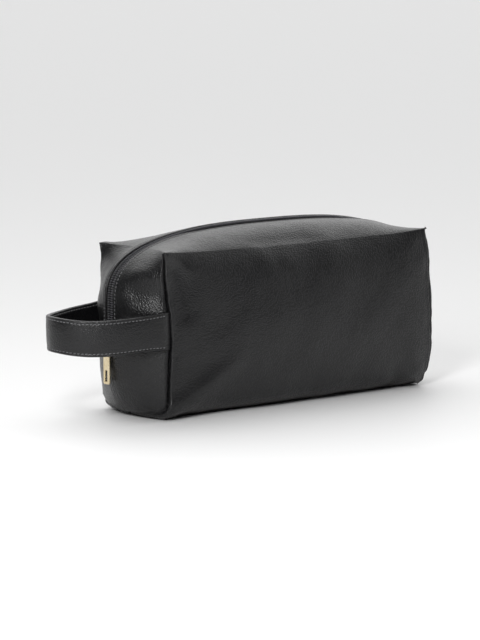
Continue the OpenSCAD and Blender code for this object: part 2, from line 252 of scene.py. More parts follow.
def relax(points, faces, freedom, times):
    """Evens the surface out, as stuffing does: each point moves towards the mean of its neighbours,
    where the nearer ones count for more."""
    pairs = np.concatenate([faces[:, [i, (i + 1) % 4]] for i in range(4)])
    pairs = np.unique(np.sort(pairs[pairs[:, 0] != pairs[:, 1]], 1), axis=0)
    one, other = pairs.T
    weight = 1 / np.maximum(np.linalg.norm(points[one] - points[other], axis=1), 0.01)
    count = np.bincount(pairs.ravel(), np.repeat(weight, 2), minlength=len(points))[:, None]
    for _ in range(times):
        pull = (points[other] - points[one]) * weight[:, None]
        total = np.stack([
            np.bincount(one, pull[:, axis], len(points)) - np.bincount(other, pull[:, axis], len(points))
            for axis in range(3)
        ], -1)
        points = points + total / count * 0.6 * freedom[:, None]
    return points


def distance_to(points, line):
    tree = KDTree(len(line))
    for i, p in enumerate(line):
        tree.insert(p, i)
    tree.balance()
    return np.array([tree.find(p)[2] for p in points])


def crease(points, path, width, heights):
    """Height of a soft ridge (or a valley, where negative) along a path of a few points."""
    path = np.array(path, float)
    best, height = np.full(len(points), 1e9), np.zeros(len(points))
    for i in range(len(path) - 1):
        run = path[i + 1] - path[i]
        t = np.clip((points - path[i]) @ run / (run @ run), 0, 1)
        away = np.linalg.norm(points - path[i] - t[:, None] * run, axis=1)
        here = mix(heights[i], heights[i + 1], t)
        height = np.where(away < best, here, height)
        best = np.minimum(best, away)
    return height * np.exp(-((best / width) ** 2))


def lean(points, sign):
    """How the filled bag pulls its corner seams off their straight lines, and how its front half
    settles a little lower along the zip than its back half."""
    x, y, z = points.T
    near = ramp(np.abs(x), 55, HALF_L) * np.clip(np.abs(y) / HALF_D, 0, 1) ** 3
    heights = [0, 14, 32, 60, 79, 88, 104, 121]
    loop_end = np.interp(z, heights, [-0.6, -1.2, -0.8, 0.5, -1.2, -2.7, -4.4, -4.8])
    plain_end = np.interp(z, heights, [-4.5, 0.6, 3.2, 2, 1, 0.9, 0.7, -2])
    bow = 2.2 * np.sin(np.pi * np.clip(z / CORNER_H, 0, 1)) * np.where(x < 0, 0.3, 1)
    on_top = ramp(z, 112, 130) * (1 - ramp(np.abs(x), 55, 105))
    settle = (0.5 if sign > 0 else -1.4) * np.exp(-((y / 15) ** 2)) * on_top
    along = near * np.where(x < 0, loop_end, plain_end)
    return points + np.stack([along, near * np.sign(y) * bow, settle], -1)


def on_side(sign, points, faces):
    """A piece made for the front (-1), or its mirror image for the back (1)."""
    return (points * [1, -1, 1], faces[:, ::-1]) if sign > 0 else (points, faces)


# Each fold is a path, its width and its height at each point of the path.
FRONT_FOLDS = [
    ([(-127, -41, 121), (-115, -42, 116), (-100, -44, 104)], 4.5, [1.6, 1.9, 0]),
    ([(-118, -42, 110), (-112, -44, 80)], 9, [-3.2, -1.6]),
    ([(-36, -45, 116), (-33, -45, 112)], 9, [0.9, 0.6]),
    ([(-27, -45, 113), (-25, -46, 106)], 4, [-0.8, -0.4]),
    ([(-15, -45, 111), (-10, -46, 107)], 7, [0.7, 0.4]),
    ([(-40, -33, 125), (0, -33, 126), (28, -35, 124)], 5, [-0.5, -1.0, 0]),
    ([(14, -42, 118), (60, -43, 117)], 6, [0.5, 0.2]),
    ([(-120, -38, 8), (-88, -45, 26), (-52, -46, 46)], 8, [2.6, 3.0, 0]),
    ([(-78, -42, 10), (-40, -45, 26)], 10, [-1.8, 0]),
    ([(92, -38, 6), (88, -43, 24)], 7, [-1.6, 0]),
    ([(112, -42, 14), (104, -46, 44)], 7, [0.9, 0]),
    ([(118, -40, 112), (100, -44, 98)], 6, [-0.8, 0]),
    ([(-142, -22, 93), (-131, -35, 92)], 7, [-1.9, -1.7]),
    ([(-144, -16, 80), (-130, -34, 78)], 6, [1.2, 1.0]),
    ([(-138, -20, 107), (-129, -33, 105)], 7, [1.3, 1.0]),
    ([(-147.5, -8, 44), (-146, -12, 38)], 2.5, [-0.9, 0]),
    ([(139, -20, 96), (131, -33, 92)], 9, [-1.5, -1.0]),
    ([(140, -14, 74), (131, -32, 70)], 8, [1.0, 0.8]),
]
BACK_FOLDS = [
    ([(-126, 41, 121), (-113, 43, 112), (-100, 45, 100)], 5, [1.2, 1.0, 0]),
    ([(-118, 43, 106), (-115, 44, 84)], 8, [-1.6, -0.8]),
    ([(126, 41, 121), (112, 43, 113), (98, 45, 104)], 5, [1.2, 1.0, 0]),
    ([(118, 43, 108), (115, 44, 88)], 8, [-1.7, -0.8]),
    ([(30, 45, 116), (42, 46, 108)], 8, [0.9, 0.5]),
    ([(10, 45, 114), (14, 46, 105)], 5, [-0.8, -0.4]),
    ([(-50, 33, 125), (-5, 33, 126)], 5, [-0.9, -0.4]),
    ([(116, 39, 10), (84, 45, 24), (52, 46, 42)], 7, [1.1, 1.2, 0]),
    ([(-100, 39, 8), (-92, 44, 28)], 7, [-1.4, 0]),
    ([(-141, 22, 98), (-131, 34, 94)], 9, [-1.7, -1.1]),
    ([(-144, 16, 80), (-130, 34, 76)], 8, [1.1, 0.9]),
    ([(139, 22, 100), (131, 33, 96)], 8, [-1.5, -1.0]),
    ([(139, 16, 82), (131, 32, 78)], 7, [1.1, 0.8]),
]

GROOVE_R = 3.0      # the leather rolls into each seam over this distance
GROOVE_D = 4.4      # and to this depth
SEAM_SWAY = (0.62, 0.78)  # a corner seam is drawn in this much along the bag and across it
SEAM_REACH = 8      # the pull of a seam ends this far away
SEWN = 0.03         # points nearer a seam than this are on it
EDGE_R = 1.3        # and over the folded edges along the zip with this one
STITCH_IN = 2.2     # the topstitching's distance from the folded edge


def rolled(distance, radius):
    """How far a round edge has dropped, as a share of its radius, this far from its end."""
    k = np.clip(1 - distance / radius, 0, 1)
    return 1 - np.sqrt(1 - k ** 2)


def rise(distance, centre, width, height):
    """A soft ridge (or a valley, where height is negative) at a distance from a seam or an edge."""
    return height * np.exp(-(((distance - centre) / width) ** 2))


def soft_noise(points, size):
    return np.array([noise.noise(Vector(p)) for p in points / size])


def leather_half(sign):
    """The points and faces of one half of the outer leather, on the front (-1) or the back (1)."""
    us = graded(-1, 0, 0.0007, 0.02, 0.02)
    us = np.concatenate([us, -us[::-1][1:]])
    ins = graded(0, HALF_D - ZIP_HALF, 0.09, 0.3, 2.4)
    low_ins = np.linspace(HALF_D - ZIP_HALF, HALF_D, 5)[1:]
    shoulder_zs = graded(ZIP_END_H, CORNER_H, 0.5, 1.2, 2.2)
    foot_zs = graded(SEAM_FOOT_H, ZIP_END_H, 1.5, 0.5, 2.2)
    points, faces = weld(half_skin(us, ins, low_ins, shoulder_zs, foot_zs))

    corner_zs = np.arange(SEAM_FOOT_H, CORNER_H, 0.4)
    foot_ys = np.linspace(-HALF_D, 0, 160)
    seams = np.concatenate([
        piece
        for side in (-1, 1)
        for piece in (
            np.stack([0 * corner_zs + side * HALF_L, 0 * corner_zs - HALF_D, corner_zs], -1),
            low_end(side, foot_ys, foot_seam(foot_ys)),
        )
    ])
    edge_s = np.linspace(-2, 2, 900)
    edge_ys = np.linspace(-ZIP_HALF, 0, 9)
    edges = np.concatenate([
        strip(edge_s, -ZIP_HALF + 0 * edge_s),
        low_end(-1, edge_ys, ZIP_END_H + 0 * edge_ys),
        low_end(1, edge_ys, ZIP_END_H + 0 * edge_ys),
    ])
    from_seam = distance_to(points, seams)
    from_edge = distance_to(points, edges)
    middle = np.abs(points[:, 1]) < 1e-6
    loose = ramp(from_edge, 2.5, 8) * np.where(middle, 0, 1)
    sewn_h = points[:, 2]
    points = relax(points, faces, ramp(from_seam, 1, 9) * loose, 24)
    near_tip = ramp(sewn_h, CORNER_H - 20, CORNER_H - 4) * mix(0.2, 1, ramp(from_seam, 0.5, 5))
    points = relax(points, faces, near_tip * loose, 10)
    points = lean(points, sign)
    points, faces = on_side(sign, points, faces)

    out = facing_out(points, faces)
    sewn = np.flatnonzero(from_seam < SEWN)
    upright = sewn[sewn_h[sewn] > SEAM_FOOT_H]
    sides = np.sign(points[upright, 0])
    out[upright] = np.stack([SEAM_SWAY[0] * sides, SEAM_SWAY[1] * sign + 0 * sides, 0 * sides], -1)
    seam_tree = KDTree(len(sewn))
    for i in sewn:
        seam_tree.insert(points[i], i)
    seam_tree.balance()
    for i in np.flatnonzero(from_seam < SEAM_REACH):  # both sides go straight down into the seam
        pinch = 1 - ramp(from_seam[i], 1.5, SEAM_REACH)
        out[i] = mix(out[i], out[seam_tree.find(points[i])[1]], pinch)
    out[middle, 1] = 0
    out /= np.linalg.norm(out, axis=1, keepdims=True)
    tip = 1 - ramp(sewn_h, CORNER_H - 3, CORNER_H + 2)
    height = -GROOVE_D * rolled(from_seam, GROOVE_R) * mix(0.15, 1, tip)
    height += tip * (rise(from_seam, 3.2, 1, 0.5) + rise(from_seam, 0, 5, -0.9))  # lips, and a dip
    height -= 1.1 * EDGE_R * rolled(from_edge, EDGE_R)
    height += rise(from_edge, 1.1, 0.7, 0.5)  # the folded edge's padding, the stitches, the next pad
    height += rise(from_edge, STITCH_IN, 0.5, -0.45)
    height += rise(from_edge, STITCH_IN + 1.5, 0.9, 0.2)
    free = ramp(from_edge, 3, 12)
    slow = soft_noise(points, 27)
    quick = soft_noise(points + 40, 9)
    pucker = np.exp(-(from_seam / 7)) * ramp(from_seam, 0.8, 3)
    height += free * (0.75 * slow + 0.16 * quick + 0.5 * pucker * soft_noise(points - 90, 5))
    local = free * ramp(np.abs(points[:, 1]), 1, 7)
    for path, width, heights in FRONT_FOLDS if sign < 0 else BACK_FOLDS:
        height += local * crease(points, path, width, heights)
    points = points + out * height[:, None]
    points[middle, 1] = 0
    points[:, 2] = np.maximum(points[:, 2], 0)
    return points, faces


def srgb(code):
    """A hex colour as linear red, green, blue and alpha."""
    parts = [int(code[i : i + 2], 16) / 255 for i in (1, 3, 5)]
    return tuple(c / 12.92 if c < 0.04045 else ((c + 0.055) / 1.055) ** 2.4 for c in parts) + (1.0,)


def add_node(tree, kind, inputs=(), **settings):
    """A node with its settings; inputs maps a socket's name or number to a value or a socket."""
    made = tree.nodes.new(kind)
    for key, value in settings.items():
        setattr(made, key, value)
    for key, value in dict(inputs).items():
        if isinstance(value, bpy.types.NodeSocket):
            tree.links.new(value, made.inputs[key])
        else:
            made.inputs[key].default_value = value
    return made


def new_material(name, sockets):
    """A material with only a Principled shader, whose constant sockets are set here."""
    material = bpy.data.materials.new(name)
    material.use_nodes = True
    shader = material.node_tree.nodes["Principled BSDF"]
    for key, value in sockets.items():
        shader.inputs[key].default_value = value
    return material, material.node_tree, shader


def patterned(tree, shader, colour, rough, bump=None):
    tree.links.new(colour.outputs[2], shader.inputs["Base Color"])
    tree.links.new(rough.outputs[0], shader.inputs["Roughness"])
    if bump:
        tree.links.new(bump.outputs[0], shader.inputs["Normal"])


def pebbled_leather(name, grain, base, high, roughness):
    """Embossed polyurethane leather: rounded pebbles between fine creases, worn a little smoother
    and paler on top, so that highlights break up into specks."""
    material, tree, shader = new_material(name, {"IOR": 1.5, "Specular IOR Level": 0.5})
    where = add_node(tree, "ShaderNodeTexCoord").outputs["Object"]
    wander = add_node(
        tree, "ShaderNodeTexNoise", {"Vector": where, "Scale": 0.35 / (grain * MM), "Detail": 2.0},
    )
    drift = add_node(
        tree, "ShaderNodeVectorMath", {0: wander.outputs["Color"], 1: (0.5, 0.5, 0.5)},
        operation="SUBTRACT",
    )
    moved = add_node(
        tree, "ShaderNodeVectorMath",
        {0: drift.outputs[0], 1: (0.35 * grain * MM,) * 3, 2: where}, operation="MULTIPLY_ADD",
    )
    cells = add_node(
        tree, "ShaderNodeTexVoronoi",
        {"Vector": moved.outputs[0], "Scale": 1 / (grain * MM), "Smoothness": 0.35}, feature="SMOOTH_F1",
    )
    pebble = add_node(
        tree, "ShaderNodeMapRange",
        {"Value": cells.outputs["Distance"], "From Min": 0.15, "From Max": 0.75,
         "To Min": 1.0, "To Max": 0.0},
        interpolation_type="SMOOTHSTEP",
    )
    fine = add_node(
        tree, "ShaderNodeTexNoise", {"Vector": where, "Scale": 3 / (grain * MM), "Detail": 3.0},
    )
    relief = add_node(
        tree, "ShaderNodeMath", {0: fine.outputs[0], 1: 0.22, 2: pebble.outputs[0]},
        operation="MULTIPLY_ADD",
    )
    bump = add_node(
        tree, "ShaderNodeBump", {"Height": relief.outputs[0], "Strength": 0.9, "Distance": 0.17 * MM},
    )
    patches = add_node(tree, "ShaderNodeTexNoise", {"Vector": where, "Scale": 28.0, "Detail": 3.0})
    tone = add_node(
        tree, "ShaderNodeMath", {0: patches.outputs[0], 1: 0.5, 2: pebble.outputs[0]},
        operation="MULTIPLY_ADD",
    )
    colour = add_node(
        tree, "ShaderNodeMix", {0: tone.outputs[0], 6: srgb(base), 7: srgb(high)}, data_type="RGBA",
    )
    rough = add_node(
        tree, "ShaderNodeMapRange",
        {"Value": tone.outputs[0], "From Max": 1.4, "To Min": roughness + 0.1, "To Max": roughness - 0.05},
    )
    patterned(tree, shader, colour, rough, bump)
    return material


def mesh_piece(name, points, faces, material, smooth=True):
    """An object with a mesh of these points, in millimetres, and faces."""
    mesh = bpy.data.meshes.new(name)
    rings = [list(dict.fromkeys(face)) for face in np.asarray(faces).tolist()]
    mesh.from_pydata((np.asarray(points) * MM).tolist(), [], [ring for ring in rings if len(ring) > 2])
    mesh.polygons.foreach_set("use_smooth", [smooth] * len(mesh.polygons))
    mesh.update()
    made = bpy.data.objects.new(name, mesh)
    scene.collection.objects.link(made)
    made.data.materials.append(material)
    return made


def thicken(piece, thickness, offset=-1):
    wall = piece.modifiers.new("thickness", "SOLIDIFY")
    wall.thickness = thickness * MM
    wall.offset = offset


def opens_with(piece):
    """Bakes the piece's placement into its mesh. On the bag a half stays put below the zip's end and swings
    above it.
    """
    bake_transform(piece)


GRAIN = 1.25  # real pebbles are about 0.7 mm, drawn coarser so that they show
leather = pebbled_leather("leather_pu_embossed_black", GRAIN, "#070708", "#121214", 0.33)
halves = {"front": -1, "back": 1}
leather_skin = {}
for half, sign in halves.items():
    points, faces = leather_half(sign)
    piece = mesh_piece(f"{half}_leather", points, faces, leather)
    rings = [list(dict.fromkeys(face)) for face in faces.tolist()]
    leather_skin[half] = BVHTree.FromPolygons(points.tolist(), rings)
    thicken(piece, 0.9)
    opens_with(piece)
    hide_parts(f"{half}_panel_lower", f"{half}_panel_upper", f"{half}_loop_end_panel",
                f"{half}_plain_end_panel")
    if half == "front":
        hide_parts("base_panel", "loop_end_panel_lower", "plain_end_panel_lower")


# ---------------------------------------------------------------------------------------------
# Lining. Thin black polyester in a plain weave, sewn into the same seams as the leather and held
# along the zip tapes' outer edges, so it follows the inside of the bag.

LINING_DEPTH = 3.3
LINING = 0.5
TAPE_W = 12.5


def plain_weave(name, dark, light, pitch, roughness, strength=0.4):
    """Plain-woven yarn: crossing threads catch the light in rows, with little gloss."""
    material, tree, shader = new_material(
        name, {"IOR": 1.5, "Specular IOR Level": 0.35, "Sheen Weight": 0.15})
    where = add_node(tree, "ShaderNodeTexCoord").outputs["Object"]
    scale = math.pi / (pitch * MM)
    turned = add_node(tree, "ShaderNodeMapping", {"Vector": where, "Rotation": (0.6, 0.5, 0.78)})
    rows = []
    for direction in ("X", "Y", "Z"):
        rows.append(add_node(
            tree, "ShaderNodeTexWave",
            {"Vector": turned.outputs[0], "Scale": scale / 20, "Distortion": 0.3},
            wave_type="BANDS", bands_direction=direction,
        ))
    cross = add_node(
        tree, "ShaderNodeMath", {0: rows[0].outputs["Fac"], 1: rows[1].outputs["Fac"]},
        operation="MULTIPLY",
    )
    both = add_node(
        tree, "ShaderNodeMath", {0: cross.outputs[0], 1: rows[2].outputs["Fac"]}, operation="ADD",
    )
    patches = add_node(tree, "ShaderNodeTexNoise", {"Vector": where, "Scale": 60.0, "Detail": 4.0})
    tone = add_node(
        tree, "ShaderNodeMath", {0: both.outputs[0], 1: patches.outputs[0]}, operation="MULTIPLY",
    )
    colour = add_node(
        tree, "ShaderNodeMix", {0: tone.outputs[0], 6: srgb(dark), 7: srgb(light)}, data_type="RGBA",
    )
    bump = add_node(
        tree, "ShaderNodeBump",
        {"Height": both.outputs[0], "Strength": strength, "Distance": 0.1 * MM},
    )
    rough = add_node(
        tree, "ShaderNodeMapRange",
        {"Value": tone.outputs[0], "To Min": roughness + 0.08, "To Max": roughness - 0.08},
    )
    patterned(tree, shader, colour, rough, bump)
    return material


WEAVE = 0.9  # threads are about 0.3 mm apart, drawn coarser so that they show
lining_cloth = plain_weave("polyester_plain_weave_black", "#131316", "#2b2b30", WEAVE, 0.7)


def kept_inside(half, points, depth):
    """The points, with those nearer the leather's face than this moved further in."""
    kept = points.copy()
    for i, point in enumerate(points):
        on, out, _, _ = leather_skin[half].find_nearest(Vector(point))
        short = depth + (Vector(point) - on).dot(out)
        if short > 0:
            kept[i] -= np.array(out) * short
    return kept


def lining_half(sign):
    us = np.linspace(-1, 1, 41)
    ins = np.linspace(0, HALF_D - TAPE_W - 0.5, 11)
    low_ins = np.linspace(HALF_D - TAPE_W - 0.5, HALF_D, 6)[1:]
    shoulder_zs = np.linspace(ZIP_END_H, CORNER_H, 17)
    foot_zs = np.linspace(SEAM_FOOT_H, ZIP_END_H, 6)
    points, faces = weld(half_skin(us, ins, low_ins, shoulder_zs, foot_zs))
    middle = np.abs(points[:, 1]) < 0.02
    points = lean(points - outward(points) * LINING_DEPTH, sign)
    rumple = 0.6 * soft_noise(points + 7, 16) - 0.5
    rumple[middle] = -0.5
    points = points + outward(points) * rumple[:, None]
    points, faces = on_side(sign, points, faces)
    points = kept_inside("back" if sign > 0 else "front", points, LINING_DEPTH - 0.8)
    points[middle, 1] = 0
    points[:, 2] = np.maximum(points[:, 2], LINING_DEPTH + 0.2)
    return points, faces


for half, sign in halves.items():
    points, faces = lining_half(sign)
    piece = mesh_piece(f"{half}_lining", points, faces, lining_cloth)
    thicken(piece, LINING)
    opens_with(piece)
    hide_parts(f"{half}_lining_lower", f"{half}_lining_upper", f"{half}_loop_end_lining",
                f"{half}_plain_end_lining")
    if half == "front":
        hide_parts("loop_end_lining_lower", "plain_end_lining_lower")


# ---------------------------------------------------------------------------------------------
# Wadding. A thin needled felt glued to the back of each wall's leather, which gives the walls
# their soft, slightly padded look. It stops short of the seams.

WADDING_DEPTH = 1.5
WADDING = 0.65
WADDING_SHARE = 0.94


def needled_felt(name, dark, light):
    """Needled felt: short tangled fibres with no gloss."""
    material, tree, shader = new_material(
        name, {"IOR": 1.5, "Specular IOR Level": 0.2, "Sheen Weight": 0.3})
    where = add_node(tree, "ShaderNodeTexCoord").outputs["Object"]
    fibres = add_node(
        tree, "ShaderNodeTexNoise",
        {"Vector": where, "Scale": 900.0, "Detail": 6.0, "Distortion": 2.0},
    )
    colour = add_node(
        tree, "ShaderNodeMix", {0: fibres.outputs[0], 6: srgb(dark), 7: srgb(light)}, data_type="RGBA",
    )
    rough = add_node(
        tree, "ShaderNodeMapRange", {"Value": fibres.outputs[0], "To Min": 0.85, "To Max": 0.98},
    )
    bump = add_node(
        tree, "ShaderNodeBump",
        {"Height": fibres.outputs[0], "Strength": 0.6, "Distance": 0.2 * MM},
    )
    patterned(tree, shader, colour, rough, bump)
    return material


felt = needled_felt("needled_felt_grey", "#6f6f6c", "#a2a29e")
for half, sign in halves.items():
    grid = section(np.linspace(-WADDING_SHARE, WADDING_SHARE, 31), np.linspace(-12, -CORNER_H + 14, 18))
    points, faces = weld([grid])
    points = lean(points - outward(points) * WADDING_DEPTH, sign)
    points, faces = on_side(sign, points, faces)
    points = kept_inside(half, points, WADDING_DEPTH)
    piece = mesh_piece(f"{half}_wadding", points, faces, felt)
    thicken(piece, WADDING)
    opens_with(piece)
    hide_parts(f"{half}_wadding_lower", f"{half}_wadding_upper")


# ---------------------------------------------------------------------------------------------
# Stiffener and base lining. A bonded fibre board lies loose in the bottom between the leather and
# the lining, and keeps the base flat.

def bonded_board(name, dark, light):
    """Bonded leather-fibre board: flecked fibres pressed flat, dull."""
    material, tree, shader = new_material(name, {"IOR": 1.5})
    where = add_node(tree, "ShaderNodeTexCoord").outputs["Object"]
    flecks = add_node(tree, "ShaderNodeTexNoise", {"Vector": where, "Scale": 500.0, "Detail": 8.0})
    colour = add_node(
        tree, "ShaderNodeMix", {0: flecks.outputs[0], 6: srgb(dark), 7: srgb(light)}, data_type="RGBA",
    )
    rough = add_node(tree, "ShaderNodeMapRange", {"Value": flecks.outputs[0], "To Min": 0.7, "To Max": 0.9})
    patterned(tree, shader, colour, rough)
    return material


def refinish(node, material):
    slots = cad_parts[node].data.materials
    slots.clear()
    slots.append(material)


refinish("base_board", bonded_board("bonded_fibre_board_brown", "#4c443b", "#7a6e60"))
refinish("base_lining", lining_cloth)


# ---------------------------------------------------------------------------------------------
# Zip tapes. Woven polyester tapes under the leather's folded edges, sewn down by the topstitching;
# a flat rib of denser weave runs beside each coil.

TAPE_DEPTH = 2.0
TAPE_T = 0.5
COIL_IN = 0.5

tape_cloth = plain_weave("polyester_zip_tape_black", "#060607", "#141417", 0.8, 0.6)


def along_zip(sign, y, depth, count, start=-2.0, end=2.0):
    """Points along the zip at a distance from its middle line, below (or, where negative, above) the
    leather's face, and the way out of the bag at each."""
    s = np.linspace(start, end, count)
    points = strip(s, -y + 0 * s)
    beside = strip(s, -y + 0.5 + 0 * s) - strip(s, -y - 0.5 + 0 * s)
    run = np.gradient(points, axis=0)
    out = np.cross(beside, run)
    out *= np.sign((out * outward(points)).sum(-1, keepdims=True))
    out /= np.linalg.norm(out, axis=1, keepdims=True)
    points = lean(points, sign) - out * depth
    return points * [1, -sign, 1], out * [1, -sign, 1]


for half, sign in halves.items():
    rows = [along_zip(sign, y, depth, 180)[0] for y, depth in
            ((TAPE_W, TAPE_DEPTH + 0.6), (8.0, TAPE_DEPTH + 0.2), (5.0, TAPE_DEPTH),
             (3.2, TAPE_DEPTH - 0.1), (2.6, TAPE_DEPTH - 0.25), (1.6, TAPE_DEPTH - 0.25),
             (COIL_IN, TAPE_DEPTH - 0.1))]
    points, faces = weld([np.array(rows)])
    piece = mesh_piece(f"{half}_tape_woven", points, faces, tape_cloth)
    thicken(piece, TAPE_T)
    opens_with(piece)
    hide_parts(f"{half}_zip_tape")


# ---------------------------------------------------------------------------------------------
# Zip coils and topstitching. Each coil is a moulded nylon spiral whose loops show as small ribs
# across the zip. The stitching is a bonded thread, about 3 mm a stitch, beside each folded edge.

COIL_PITCH = 1.7    # real coils have a loop every 1.2 mm, drawn a little coarser so that they show
COIL_ACROSS = 2.9
COIL_DEPTH = 0.95
COIL_END = 1.955    # on the scale of strip, where 2 is the zip's end
STITCH_PITCH = 2.8
STITCH_L = 2.1
STITCH_T = 0.7


def repeat_along_path():
    """Geometry nodes: rounded pieces set at an even pitch along the object's edges. Each is turned to
    the path and to the "out" attribute, which is the way the surface faces."""
    tree = bpy.data.node_groups.new("repeat_along_path", "GeometryNodeTree")
    face = tree.interface
    face.new_socket("Geometry", in_out="INPUT", socket_type="NodeSocketGeometry")
    for name in ("Pitch", "Length", "Width", "Height", "Slant", "Unevenness"):
        face.new_socket(name, in_out="INPUT", socket_type="NodeSocketFloat")
    face.new_socket("Seed", in_out="INPUT", socket_type="NodeSocketInt")
    face.new_socket("Finish", in_out="INPUT", socket_type="NodeSocketMaterial")
    face.new_socket("Geometry", in_out="OUTPUT", socket_type="NodeSocketGeometry")
    given = add_node(tree, "NodeGroupInput").outputs
    curve = add_node(tree, "GeometryNodeMeshToCurve", {"Mesh": given["Geometry"]})
    spaced = add_node(
        tree, "GeometryNodeResampleCurve", {"Curve": curve.outputs[0], "Length": given["Pitch"]},
        mode="LENGTH",
    )
    run = add_node(tree, "GeometryNodeInputTangent")
    out = add_node(tree, "GeometryNodeInputNamedAttribute", {"Name": "out"}, data_type="FLOAT_VECTOR")
    turn = add_node(tree, "FunctionNodeAxesToRotation", {0: run.outputs[0], 1: out.outputs[0]},
                    primary_axis="X", secondary_axis="Z")
    low = add_node(tree, "ShaderNodeMath", {0: 1.0, 1: given["Unevenness"]}, operation="SUBTRACT")
    high = add_node(tree, "ShaderNodeMath", {0: 1.0, 1: given["Unevenness"]}, operation="ADD")
    size = add_node(tree, "FunctionNodeRandomValue",
                    {"Seed": given["Seed"], 2: low.outputs[0], 3: high.outputs[0]}, data_type="FLOAT")
    slant = add_node(tree, "ShaderNodeCombineXYZ", {"Z": given["Slant"]})
    tilt = add_node(tree, "FunctionNodeEulerToRotation", {0: slant.outputs[0]})
    turned = add_node(tree, "FunctionNodeRotateRotation", {0: turn.outputs[0], 1: tilt.outputs[0]},
                      rotation_space="LOCAL")
    bead = add_node(tree, "GeometryNodeMeshUVSphere", {"Segments": 8, "Rings": 6, "Radius": 0.5})
    shape = add_node(
        tree, "ShaderNodeCombineXYZ", {0: given["Length"], 1: given["Width"], 2: given["Height"]},
    )
    shaped = add_node(
        tree, "GeometryNodeTransform", {"Geometry": bead.outputs[0], "Scale": shape.outputs[0]},
    )
    smooth = add_node(tree, "GeometryNodeSetShadeSmooth", {"Geometry": shaped.outputs[0]})
    placed = add_node(
        tree, "GeometryNodeInstanceOnPoints",
        {"Points": spaced.outputs[0], "Instance": smooth.outputs[0], "Rotation": turned.outputs[0],
         "Scale": size.outputs[1]},
    )
    real = add_node(tree, "GeometryNodeRealizeInstances", {0: placed.outputs[0]})
    done = add_node(
        tree, "GeometryNodeSetMaterial", {"Geometry": real.outputs[0], "Material": given["Finish"]},
    )
    add_node(tree, "NodeGroupOutput", {0: done.outputs[0]})
    return tree


path_tree = repeat_along_path()


def repeated(name, paths, material, **sizes):
    """A plain mesh of pieces repeated along paths, each a pair of points and outward directions."""
    points = np.concatenate([p for p, _ in paths])
    outs = np.concatenate([o for _, o in paths])
    edges, at = [], 0
    for p, _ in paths:
        edges += [(at + i, at + i + 1) for i in range(len(p) - 1)]
        at += len(p)
    mesh = bpy.data.meshes.new(name + "_path")
    mesh.from_pydata((points * MM).tolist(), edges, [])
    mesh.attributes.new("out", "FLOAT_VECTOR", "POINT").data.foreach_set("vector", outs.ravel())
    path = bpy.data.objects.new(name + "_path", mesh)
    scene.collection.objects.link(path)
    modifier = path.modifiers.new("repeat", "NODES")
    modifier.node_group = path_tree
    values = {"Finish": material, **sizes}
    for socket in path_tree.interface.items_tree:
        if socket.in_out == "INPUT" and socket.name in values:
            modifier[socket.identifier] = values[socket.name]
    shown = path.evaluated_get(bpy.context.evaluated_depsgraph_get())
    baked = bpy.data.meshes.new_from_object(shown)
    bpy.data.objects.remove(path)
    made = bpy.data.objects.new(name, baked)
    scene.collection.objects.link(made)
    return made


def moulded_nylon(name, dark, light, roughness):
    """Extruded and heat-set nylon: smooth, a soft gloss with fine scuffs."""
    material, tree, shader = new_material(name, {"IOR": 1.53})
    where = add_node(tree, "ShaderNodeTexCoord").outputs["Object"]
    scuffs = add_node(tree, "ShaderNodeTexNoise", {"Vector": where, "Scale": 700.0, "Detail": 4.0})
    colour = add_node(
        tree, "ShaderNodeMix", {0: scuffs.outputs[0], 6: srgb(dark), 7: srgb(light)}, data_type="RGBA",
    )
    rough = add_node(tree, "ShaderNodeMapRange",
                     {"Value": scuffs.outputs[0], "To Min": roughness - 0.08, "To Max": roughness + 0.1})
    patterned(tree, shader, colour, rough)
    return material


def bonded_thread(name, dark, light):
    """Twisted and bonded polyester thread: the plies lie in slanting stripes, slightly waxy."""
    material, tree, shader = new_material(name, {"IOR": 1.5, "Sheen Weight": 0.1})
    where = add_node(tree, "ShaderNodeTexCoord").outputs["Object"]
    plies = add_node(tree, "ShaderNodeTexNoise", {"Vector": where, "Scale": 1500.0, "Detail": 2.0})
    colour = add_node(
        tree, "ShaderNodeMix", {0: plies.outputs[0], 6: srgb(dark), 7: srgb(light)}, data_type="RGBA",
    )
    rough = add_node(
        tree, "ShaderNodeMapRange", {"Value": plies.outputs[0], "To Min": 0.45, "To Max": 0.65},
    )
    bump = add_node(
        tree, "ShaderNodeBump", {"Height": plies.outputs[0], "Strength": 0.4, "Distance": 0.1 * MM},
    )
    patterned(tree, shader, colour, rough, bump)
    return material


nylon = moulded_nylon("nylon_coil_black", "#3a3a3e", "#5e5e62", 0.3)
# The thread itself is black: both greys are painted sheen, which makes the stitches show as pale dashes.
thread = bonded_thread("polyester_thread_black_painted_sheen", "#4e4e50", "#828284")


def on_leather(half, points, lift):
    """The points moved onto the leather and lifted off it, with the way it faces at each."""
    found = [leather_skin[half].find_nearest(Vector(p)) for p in points]
    outs = np.array([hit[1] for hit in found])
    on = np.array([hit[0] for hit in found])
    outs = (np.roll(outs, 1, 0) + outs + np.roll(outs, -1, 0)) / 3
    outs /= np.linalg.norm(outs, axis=1, keepdims=True)
    return on + outs * lift, outs


for half, sign in halves.items():
    coil_line = along_zip(sign, COIL_IN + COIL_ACROSS / 2 - 0.1, COIL_DEPTH, 500, -COIL_END, COIL_END)
    coil = repeated(
        f"{half}_coil_moulded", [coil_line],
        nylon, Pitch=COIL_PITCH * MM, Length=1.0 * MM, Width=COIL_ACROSS * MM, Height=1.7 * MM,
        Slant=0.1 * sign, Unevenness=0.0, Seed=1,
    )
    opens_with(coil)
    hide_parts(f"{half}_zip_coil")
    route, _ = along_zip(sign, ZIP_HALF + STITCH_IN, 0, 500)
    stitches = repeated(
        f"{half}_topstitches", [on_leather(half, route, 0.2)], thread,
        Pitch=STITCH_PITCH * MM, Length=STITCH_L * MM, Width=STITCH_T * MM, Height=STITCH_T * MM,
        Slant=0.12, Unevenness=0.08, Seed=4,
    )
    opens_with(stitches)
    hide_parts(f"{half}_zip_stitching")


